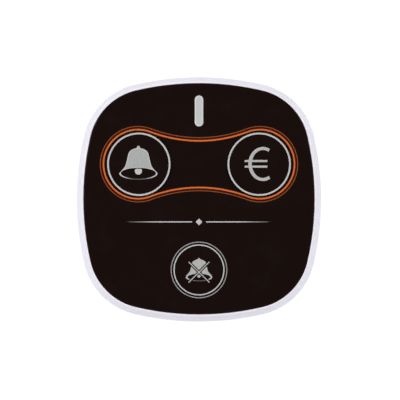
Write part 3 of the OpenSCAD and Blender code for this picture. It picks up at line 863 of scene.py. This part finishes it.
def key_cap(key):
    """Key cap: flat top with a small round edge, hollow back, stem and flange."""
    inner, flange, node = key.radius - CAP_WALL, key.radius + FLANGE_OUT, key.name + "_key"
    cap = lathe(key.name + "_cap", key.at, [
        (0, CAP_TOP), (key.radius - CAP_EDGE - 0.4 * MM, CAP_TOP),
        *arc((key.radius - CAP_EDGE, CAP_TOP - CAP_EDGE), CAP_EDGE, 90, 0, 4),
        (key.radius, FLANGE_TOP), (flange, FLANGE_TOP), (flange, FLANGE_Z), (inner, FLANGE_Z),
        (inner, CAP_ROOF), (STEM_R, CAP_ROOF), (STEM_R, KEY_FOOT), (0, KEY_FOOT)])
    notch_at = key.at + (flange + 0.6 * MM) * outward(key.rib_angle)
    notch = (3 * MM, KEY_RIB_W + 0.5 * MM, PAST + 0.9 * MM)
    cut(cap, bar(notch_at, notch, FLANGE_Z - PAST, key.rib_angle))
    dress(cap, node, BLACK_CAP, [node])


# ---- Prints ----
def ink_ring(name, at, inner, outer, face, body, finish):
    """A printed ring on a face."""
    ring = lathe(name, at, rectangle(inner, outer, face - INK_SINK, face + INK_T))
    dress(ring, body, finish)


def flat_body(name, at, outline, low, high):
    """A flat shape: its outline, in millimetres from a place, drawn, filled and raised."""
    piece = start_line(name)
    draw_line([Vector((at[0] + x * MM, at[1] + y * MM, low)) for x, y in outline])
    bpy.ops.mesh.remove_doubles(threshold=WELD)
    bpy.ops.mesh.edge_face_add()
    bpy.ops.mesh.extrude_region_move(TRANSFORM_OT_translate={"value": (0, 0, high - low)})
    bpy.ops.mesh.select_all(action="SELECT")
    bpy.ops.mesh.normals_make_consistent(inside=False)
    bpy.ops.object.mode_set(mode="OBJECT")
    return piece


def ink_shape(name, at, outline, lift=0.0):
    """A printed shape on a key's cap, or a tool for it, lift above the first layer."""
    return flat_body(name, at, outline, CAP_TOP - INK_SINK, CAP_TOP + FIRST_LAYER + lift)


def tool_shape(at, outline):
    """A flat shape tall enough to cut right through a print."""
    return flat_body("tool", at, outline, CAP_TOP - PAST, CAP_TOP + PAST)


def curve(start, first, second, end, steps):
    """Points on a curve with two handles, without its first point."""
    points = []
    for i in range(1, steps + 1):
        t = i / steps
        weights = ((1 - t) ** 3, 3 * t * (1 - t) ** 2, 3 * t * t * (1 - t), t**3)
        points.append(tuple(sum(w * p[axis] for w, p in zip(weights, (start, first, second, end)))
                            for axis in (0, 1)))
    return points


def contour(start, *runs):
    """A point and the curves that run on from it, each as two handles, an end and its steps."""
    points = [start]
    for run in runs:
        points += curve(points[-1], *run)
    return points


def mirrored(points):
    """The same points on the other side, in the opposite order."""
    return [(-x, y) for x, y in reversed(points)]


def bell_outline():
    """A hand bell seen a little from below, from the knob clockwise."""
    flank = contour((0.5, 5.42), ((1.7, 5.1), (3.25, 4.5), (3.38, 3.0), 10),
                    ((3.65, 2.1), (3.85, 0.9), (4.19, -0.26), 8),
                    ((4.4, -1.0), (5.3, -1.85), (6.26, -2.88), 8))
    mouth = oval((0, -3.0), 6.29, 2.07, -4, -176, 34)
    knob = oval((0, 5.55), 0.52, 0.5, 196, -16, 12)
    return flank + mouth + mirrored(flank) + knob


def bell_core():
    """The darker field inside the bell's body, down to its mouth."""
    flank = contour((0.3, 5.15), ((1.5, 4.8), (2.9, 4.2), (3.08, 2.9), 10),
                    ((3.35, 2.0), (3.55, 0.8), (3.88, -0.4), 8))
    flank += curve((3.85, -0.4), (4.0, -0.9), (4.1, -1.1), (4.25, -1.3), 3)
    lower = oval((0, -2.95), 5.8, 2.0, 56, 124, 14)
    return flank + lower[1:-1] + mirrored(flank)


def call_print():
    """Bell with a dark mouth and a clapper, on the call key."""
    at = CALL.at + Vector((-0.13 * MM, 0))
    bell = ink_shape("call_bell", at, bell_outline())
    cut(bell, tool_shape(at, oval((0, -2.97), 5.79, 1.8, 0, 350, 35)))
    dress(bell, "call_key", bell_ink("call_bell_ink", at, (0.51, 0.50, 0.495), 1))
    core = ink_shape("call_bell_core", at, bell_core(), SECOND_LAYER)
    dress(core, "call_key", SILVER_CORE)
    clapper = ink_shape("call_bell_clapper", at, oval((0, -2.25), 1.18, 1.15, 42, -222, 30))
    dress(clapper, "call_key", SILVER)


def bill_print():
    """Currency sign on the bill key: an open round stroke and two bars."""
    outer = oval((1.22, 0.1), 4.8, 5.6, 62, 300, 44)
    inner = oval((1.22, 0.1), 3.65, 4.6, 302, 60, 44)
    sign = ink_shape("bill_sign", BILL.at, outer + inner)
    for y in (1.06, -0.78):
        low, high = y - 0.34, y + 0.34
        join(sign, ink_shape("bar", BILL.at, [(-4.83, low), (2.6, low), (2.73, high), (-4.7, high)]))
    dress(sign, "bill_key", SILVER_SOFT)


def small_bell_outline():
    """The bell of the cancel key: pointed top, low shoulders and a wide foot."""
    flank = contour((0, 4.06), ((0.2, 3.7), (0.4, 3.55), (0.72, 3.42), 4),
                    ((1.5, 3.1), (2.05, 2.9), (2.25, 2.37), 8),
                    ((2.7, 1.1), (2.65, 0.1), (3.1, -0.65), 8),
                    ((3.45, -1.2), (4.2, -1.55), (4.36, -2.4), 6))
    foot = oval((0, -2.44), 4.36, 1.28, -4, -176, 24)
    return flank + foot + mirrored(flank)[:-1]


def stroke(start, end, width):
    """A straight stroke with half-round ends."""
    run = Vector(end) - Vector(start)
    facing = math.degrees(math.atan2(run.y, run.x))
    return (arc(end, width / 2, facing - 90, facing + 90, 8)
            + arc(start, width / 2, facing + 90, facing + 270, 8))


def cancel_print():
    """Crossed-out bell on the cancel key; the cross keeps a dark gap beside it."""
    strokes = [((-3.3, 2.55), (3.35, -4.05)), ((3.3, 2.55), (-3.35, -4.05))]
    line, gap = 0.32, 1.0
    bell = ink_shape("cancel_bell", CANCEL.at, small_bell_outline())
    cut(bell, tool_shape(CANCEL.at, oval((0, -2.37), 3.8, 1.1, 0, 350, 35)))
    join(bell, ink_shape("clapper", CANCEL.at, oval((0, -2.06), 0.52, 0.5, 0, 340, 17)))
    cut(bell, *(tool_shape(CANCEL.at, stroke(*ends, gap)) for ends in strokes))
    ink = bell_ink("cancel_bell_ink", CANCEL.at, (0.43, 0.42, 0.415), 0.69)
    dress(bell, "cancel_key", ink)
    cross = ink_shape("cancel_cross", CANCEL.at, stroke(*strokes[0], line))
    join(cross, ink_shape("stroke", CANCEL.at, stroke(*strokes[1], line)))
    dress(cross, "cancel_key", SILVER_SOFT)


def waisted_line(name, inner, outer, finish):
    """A line printed round both large keys with a waist between them, by its distances from them."""
    end_r, waist_r = 11.36 * MM, 45 * MM
    right = BILL.at + Vector((0.25 * MM, 0.04 * MM))
    left = Vector((-right.x, right.y))
    waist_rise = math.sqrt((end_r + waist_r) ** 2 - right.x**2)
    open_angle = math.atan2(waist_rise, right.x)
    end_turn = math.pi - open_angle
    waist_turn = -(math.pi - 2 * open_angle)
    above, below = (0, right.y + waist_rise), (0, right.y - waist_rise)
    profile = rectangle(inner, outer, PANEL_TOP - INK_SINK, PANEL_TOP + INK_T)
    line = sweep(name, profile, right + Vector((end_r, 0)), [
        Turn(right, end_turn, 40), Turn(above, waist_turn, 24), Turn(left, 2 * end_turn, 80),
        Turn(below, waist_turn, 24), Turn(right, end_turn, 40)])
    dress(line, "housing", finish)


def divider():
    """A plain hairline with a small diamond in its middle, printed across the face."""
    at, low, high = (0, -7.6 * MM), PANEL_TOP - INK_SINK, PANEL_TOP + INK_T
    line = flat_body("divider", at, [(-1.1, 0), (0, -1.1), (1.1, 0), (0, 1.1)], low, high)
    for side in (-1, 1):
        hair = [(side * x, y) for x, y in ((24, 0), (13, -0.17), (2.3, -0.17), (2.3, 0.17), (13, 0.17))]
        join(line, flat_body("hair", at, hair, low, high))
    dress(line, "housing", SILVER)


# ---- Battery door, screws and feet ----
def door():
    """Coin-turn door with a hub, three lugs, a seal groove and a pointer dimple."""
    edge, top = 0.3 * MM, 2.15 * MM
    groove_z, groove_in, groove_out = 1.55 * MM, 15.3 * MM, 16.1 * MM
    piece = lathe("coin_door", (0, 0), [
        (0, DOOR_Z), (DOOR_R - edge, DOOR_Z), *arc((DOOR_R - edge, DOOR_Z + edge), edge, -90, 0, 6),
        (DOOR_R, top), (groove_out, top), (groove_out, groove_z), (groove_in, groove_z), (groove_in, top),
        (HUB_R, top), (HUB_R, DOOR_TOP), (HUB_IN, DOOR_TOP), (HUB_IN, FLOOR_TOP), (0, FLOOR_TOP)])
    for angle in DOOR_ANGLES:
        join(piece, sector(HUB_R - 0.3 * MM, 14.6 * MM, DOOR_TOP - 1 * MM, DOOR_TOP, angle, 20))
    cut(piece, coin_slot(), dimple(14.2 * MM, 90, DOOR_Z))
    dress(piece, "battery_door", WHITE, ["battery_door"])


def coin_slot():
    """Tool for the coin's slot, with sloping ends like a coin's edge."""
    depth = 0.9 * MM
    roof = DOOR_Z + depth - 0.1 * MM
    return rounded_bar((0, 0), (16 * MM, 2.2 * MM, PAST + depth), DOOR_Z - PAST, 0.85 * MM,
                       lambda one, other: min(one.z, other.z) > roof and abs(one.y - other.y) > MM)


def seal():
    """Ring seal in the door's groove."""
    ring_r, radius = 15.7 * MM, 0.3 * MM
    ring = lathe("ring_seal", (0, 0), arc((ring_r, SEAL_Z + radius), radius, 0, 360, 24))
    dress(ring, "battery_door", RUBBER, ["door_seal"])


def case_screws():
    """Pan-head screws with a cross recess, head down in their counterbores."""
    head_r, shank_r, crown_r = 2.4 * MM, 1.25 * MM, 0.7 * MM
    cross = (2.7 * MM, 0.5 * MM, PAST + 0.8 * MM)
    crown = arc((head_r - crown_r, SCREW_Z + 0.75 * MM), crown_r, -90, 0, 6)
    screw = lathe("screw", (0, 0), [
        (0, SCREW_Z), (0.9 * MM, SCREW_Z + 0.01 * MM), *crown, (head_r, SCREW_SEAT), (shank_r, SCREW_SEAT),
        (shank_r, SCREW_TIP - shank_r), (0.3 * MM, SCREW_TIP), (0, SCREW_TIP)])
    for turn in (0, 90):
        cut(screw, bar((0, 0), cross, SCREW_Z - PAST, turn))
    cut(screw, lathe("centre", (0, 0), [
        (0, SCREW_Z + 1.1 * MM), (0.65 * MM, SCREW_Z - 0.1 * MM), (0, SCREW_Z - PAST)]))
    for twin in copies(screw, "case_screw", CASE_SCREW_AT):
        dress(twin, "housing", ZINC, ["case_screws"])


def feet():
    """Rubber feet with a soft edge and a shallow dish."""
    edge = 0.35 * MM
    foot = lathe("foot", (0, 0), [
        (0, 0.15 * MM), (2.2 * MM, 0.12 * MM), (2.6 * MM, 0), (FOOT_R - edge, 0),
        *arc((FOOT_R - edge, edge), edge, -90, 0, 6)[1:], (FOOT_R, FOOT_TOP), (0, FOOT_TOP)])
    for twin in copies(foot, "foot", FOOT_AT):
        dress(twin, "housing", RUBBER, ["rubber_feet"], 40)


# ---- Inside ----
def silicone_mat():
    """Mat under the keys: three round fields joined by bridges, open under each dome."""
    edge, hole_r, width, height = COLLAR_IN + COLLAR_T + 0.5 * MM, 7.4 * MM, 12 * MM, MAT_TOP - MAT_Z
    mat, bill_field, cancel_field = (peg(key.at, key.radius + edge, MAT_Z, MAT_TOP) for key in KEYS)
    mat.name = mat.data.name = "silicone_mat"
    settle(mat)
    bridge = bar((0, CALL.at.y - 2 * MM), (2 * BILL.at.x, width, height), MAT_Z)
    spine_top, spine_low = CALL.at.y - 4 * MM, CANCEL.at.y
    spine = bar((0, (spine_top + spine_low) / 2), (width, spine_top - spine_low, height), MAT_Z)
    join(mat, bridge, bill_field, spine, cancel_field)
    for key in KEYS:
        cut(mat, peg(key.at, hole_r, MAT_Z - PAST, MAT_TOP + PAST))
    dress(mat, "housing", SILICONE, ["key_mat"])


def dome(key):
    """Silicone spring under a key: a foot ring, a curved skirt and a head that holds the pill."""
    node = key.name + "_dome"
    (_, top), (_, pill_top) = span(node), span(key.name + "_pill")
    head_r, edge, foot_r, foot_top = 4.7 * MM, 0.3 * MM, 8.6 * MM, MAT_TOP + 0.3 * MM
    outside = in_mm([(5.1, 12.85), (5.5, 12.62), (6.3, 12.25), (7.1, 11.9), (7.75, 11.62), (8.0, 11.5)])
    inside = in_mm([(7.4, 11.2), (7.0, 11.36), (6.2, 11.7), (5.2, 12.08), (4.4, 12.35), (3, 12.35)])
    piece = lathe(key.name + "_spring", key.at, [
        (0, top), (head_r - edge, top), *arc((head_r, top - edge), edge, 90, 0, 4), *outside,
        (foot_r, foot_top), (foot_r, MAT_TOP), *inside, (3 * MM, pill_top), (0, pill_top)])
    dress(piece, "housing", SILICONE, [node], 40)
    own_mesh(piece)


def antenna():
    """Wound antenna: one wire in eight and a half turns, its ends turned up to the board."""
    wire, radius, pitch, turns, steps = 0.8 * MM, 2.1 * MM, 2 * MM, 8.5, 24
    centre = Vector((-pitch * turns / 2, 27.5 * MM, 6.2 * MM))
    coil_points = []
    for i in range(round(turns * steps) + 1):
        angle = math.tau * i / steps
        coil_points.append(centre + Vector((
            pitch * i / steps, radius * math.cos(angle), -radius * math.sin(angle))))
    lead = [0.25 * MM, wire, BOARD_Z - centre.z]
    first, last = ([Vector((end.x, end.y, centre.z + rise)) for rise in lead]
                   for end in (coil_points[0], coil_points[-1]))
    route = first[::-1] + coil_points[1:-1] + last
    coil = added(bpy.ops.curve.primitive_nurbs_path_add, radius=MM)
    coil.name = coil.data.name = "antenna_wire"
    coil.data.splines.clear()
    spline = coil.data.splines.new("POLY")
    spline.points.add(len(route) - 1)
    for point, place in zip(spline.points, route):
        point.co = (*place, 1)
    coil.data.dimensions = "3D"
    coil.data.bevel_depth = wire / 2
    coil.data.bevel_resolution = 4
    coil.data.use_fill_caps = True
    only(coil)
    bpy.ops.object.convert(target="MESH")
    coil = bpy.context.object
    bpy.ops.object.mode_set(mode="EDIT")
    close_mesh()
    dress(coil, "housing", COPPER, ["antenna_coil"], 50)


def finish_cad_nodes():
    """Materials for the inner pieces whose CAD shapes stay as they are."""
    finishes = {
        "panel_tape": adhesive_tape(),
        "circuit_board": solder_mask(),
        "contact_pads": GOLD,
        "positive_contact": plated("side_contact_plate", CONTACT_PLATE),
        "negative_contact": plated("leaf_contact_plate", CONTACT_PLATE),
        "indicator_led": MILKY,
        "controller_chip": chip_moulding("controller_moulding", "controller_chip", 4.2 * MM),
        "radio_chip": chip_moulding("radio_moulding", "radio_chip", 1.7 * MM),
        "crystal_can": NICKEL,
        "chip_parts": ceramic_chips(),
        "coin_cell": NICKEL,
        "board_screws": ZINC,
    }
    pill = carbon_rubber()
    finishes.update({key.name + "_pill": pill for key in KEYS})
    for name, finish in finishes.items():
        for slot in nodes[name].material_slots:
            slot.material = finish


# ---- Floor, light and camera ----
def floor():
    """White table that shows as plain white, with a faint shadow."""
    table = added(bpy.ops.mesh.primitive_plane_add, size=6, location=(0, 0, 0))
    table.name = table.data.name = "table_top"
    settle(table)
    tree = new_finish("white_table")
    matte = tree.nodes["Principled BSDF"]
    tree.feed(matte, {"Base Color": (0.8, 0.8, 0.8, 1), "Roughness": 0.9, "Specular IOR Level": 0.0})
    rays = tree.add("LightPath", output="Is Camera Ray")
    for kind in ("Is Glossy Ray", "Is Transmission Ray"):
        rays = rays.most(tree.add("LightPath", output=kind))
    shown = tree.add("Emission", inputs={"Color": (1, 1, 1, 1), "Strength": 1.06}, output="Emission")
    shading = Socket(tree, matte.outputs["BSDF"])
    both = tree.add("MixShader", inputs={0: rays * 0.93, 1: shading, 2: shown}, output="Shader")
    tree.feed(tree.nodes["Material Output"], {"Surface": both})
    table.data.materials.append(tree.owner)


def world():
    """Even white surroundings that light the object softly and are darker overhead in reflections."""
    tree = Tree(bpy.data.worlds.new("studio"))
    bpy.context.scene.world = tree.owner
    direction = tree.add("TexCoord", output="Generated")
    up = tree.add("SeparateXYZ", inputs={"Vector": direction}, output="Z")
    glossy = tree.add("LightPath", output="Is Glossy Ray")
    camera_ray = tree.add("LightPath", output="Is Camera Ray").most(
        tree.add("LightPath", output="Is Transmission Ray"))
    reflected = 1 - 0.92 * up.rise(-0.1, 0.35)
    lit = 0.84 - 0.42 * up.rise(0, 0.55)
    strength = lit + (reflected - lit) * glossy
    strength = strength + (1 - strength) * camera_ray
    tree.feed(tree.nodes["Background"], {"Color": (1, 1, 1, 1), "Strength": strength})


def lamp(name, azimuth, watts):
    """A soft square lamp that faces the object, by its direction as seen from above."""
    distance, size, rise = 0.7, 0.35, math.radians(46)
    back = Vector((*(math.cos(rise) * outward(azimuth)), math.sin(rise)))
    data = bpy.data.lights.new(name, "AREA")
    data.energy = watts
    data.size = size
    light = bpy.data.objects.new(name, data)
    bpy.context.scene.collection.objects.link(light)
    light.location = back * distance
    light.rotation_euler = back.to_track_quat("Z", "Y").to_euler()


def camera():
    """Long lens almost straight above, a degree towards the near edge."""
    distance, tilt, frame_width = 3.0, math.radians(1.1), 131.55 * MM
    aim = Vector((0.33 * MM, -0.4 * MM, RIM_Z))
    data = bpy.data.cameras.new("camera")
    data.sensor_width = 36
    data.lens = data.sensor_width / 2 / (frame_width / 2 / distance)
    data.clip_start = 0.1
    data.clip_end = 20
    holder = bpy.data.objects.new("camera", data)
    bpy.context.scene.collection.objects.link(holder)
    holder.location = aim + distance * Vector((0, -math.sin(tilt), math.cos(tilt)))
    holder.rotation_euler = (tilt, 0, 0)
    bpy.context.scene.camera = holder


# ---- The scene ----
camera()
housing_shell()
housing_base()
face_plate()
window()
for key in KEYS:
    key_cap(key)
    dome(key)
for key in (CALL, BILL):
    ink_ring(key.name + "_ring", key.at, 9.85 * MM, 10.39 * MM, CAP_TOP, key.name + "_key", SILVER)
ink_ring("cancel_ring", CANCEL.at, 8.01 * MM, 8.37 * MM, CAP_TOP, "cancel_key", SILVER)
ink_ring("cancel_outer_ring", CANCEL.at, 8.99 * MM, 9.3 * MM, PANEL_TOP, "housing", SILVER_DIM)
call_print()
bill_print()
cancel_print()
for name, inner, outer, ink in (
        ("dark_red_inner_band", -0.42, -0.24, DARK_RED), ("orange_line", -0.24, 0.26, ORANGE),
        ("dark_red_band", 0.26, 0.94, DARK_RED), ("umber_line", 0.94, 1.19, UMBER)):
    waisted_line(name, inner * MM, outer * MM, ink)
divider()
door()
seal()
case_screws()
feet()
silicone_mat()
antenna()
finish_cad_nodes()

floor()
world()
for name, azimuth, watts in (("left_lamp", 163, 1.75), ("right_lamp", 17, 1.3),
                             ("back_lamp", 90, 0.35), ("front_lamp", 270, 0.7)):
    lamp(name, azimuth, watts)

bpy.context.scene.view_settings.view_transform = "Standard"
